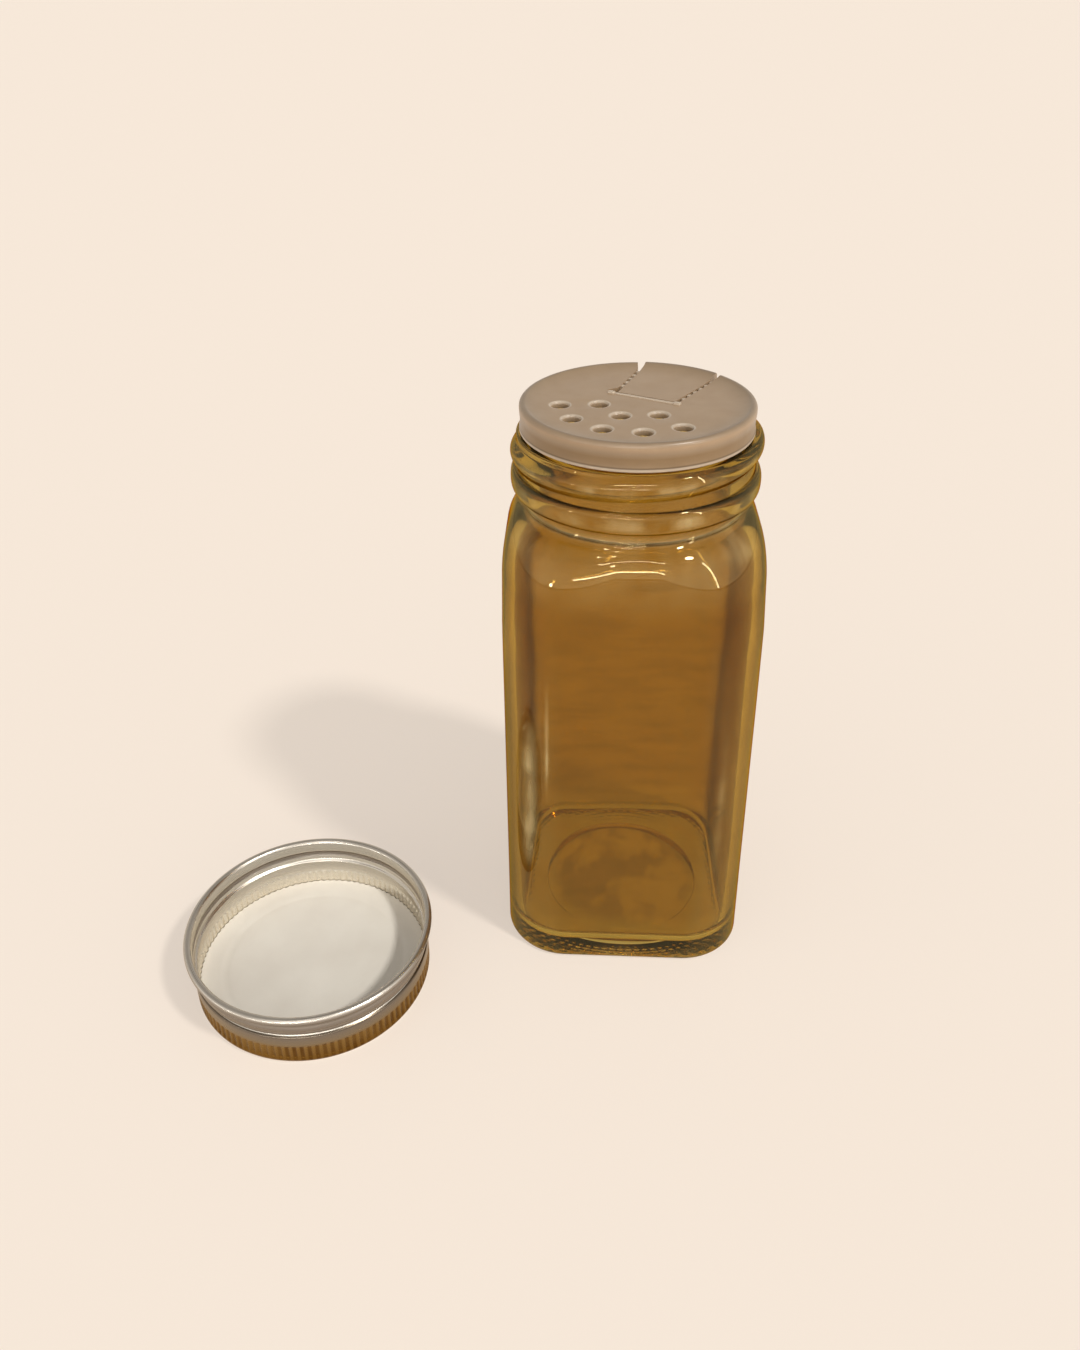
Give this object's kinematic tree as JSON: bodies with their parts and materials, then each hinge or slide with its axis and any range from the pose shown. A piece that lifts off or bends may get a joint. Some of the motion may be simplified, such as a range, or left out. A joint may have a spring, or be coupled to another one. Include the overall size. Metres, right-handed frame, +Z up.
{
  "type": "salt shaker",
  "caption": "Square glass salt shaker with a frosted press-fit sifter, a hinged pour flap and a lined metal screw cap that lies open beside it.",
  "frame": {"origin": "on the table, in the middle of the box round the jar and the cap beside it", "axes": "+Z up the jar; +X from the cap towards the jar, square to the jar's sides; +Y away from the front of the set, its shortest extent"},
  "size_m": [0.1018, 0.0706, 0.1024],
  "materials": {
    "jar_glass": null,
    "frosted_plastic": "fine frosted, translucent",
    "brushed_aluminium": "satin rolled sheet",
    "liner_foam": "smooth faced foam"
  },
  "bodies": {
    "jar": {"glass_jar": "jar_glass"},
    "sifter": {"sifter_insert": "frosted_plastic"},
    "flap": {"pour_flap": "frosted_plastic"},
    "cap": {"cap_shell": "brushed_aluminium", "cap_liner": "liner_foam"}
  },
  "joints": [
    {"name": "sifter_lift", "type": "slide", "parent": "jar", "child": "sifter", "axis": [0, 0, 1], "range_m": [0, 0.03]},
    {"name": "flap_hinge", "type": "hinge", "parent": "sifter", "child": "flap", "pos_m": [0.03061, 0.01635, 0.1016], "axis": [0.8894, -0.4571, 0], "range_deg": [0, 110]},
    {"name": "cap_lift", "type": "slide", "parent": "jar", "child": "cap", "axis": [0, 0, 1], "range_m": [0, 0.12]}
  ]
}
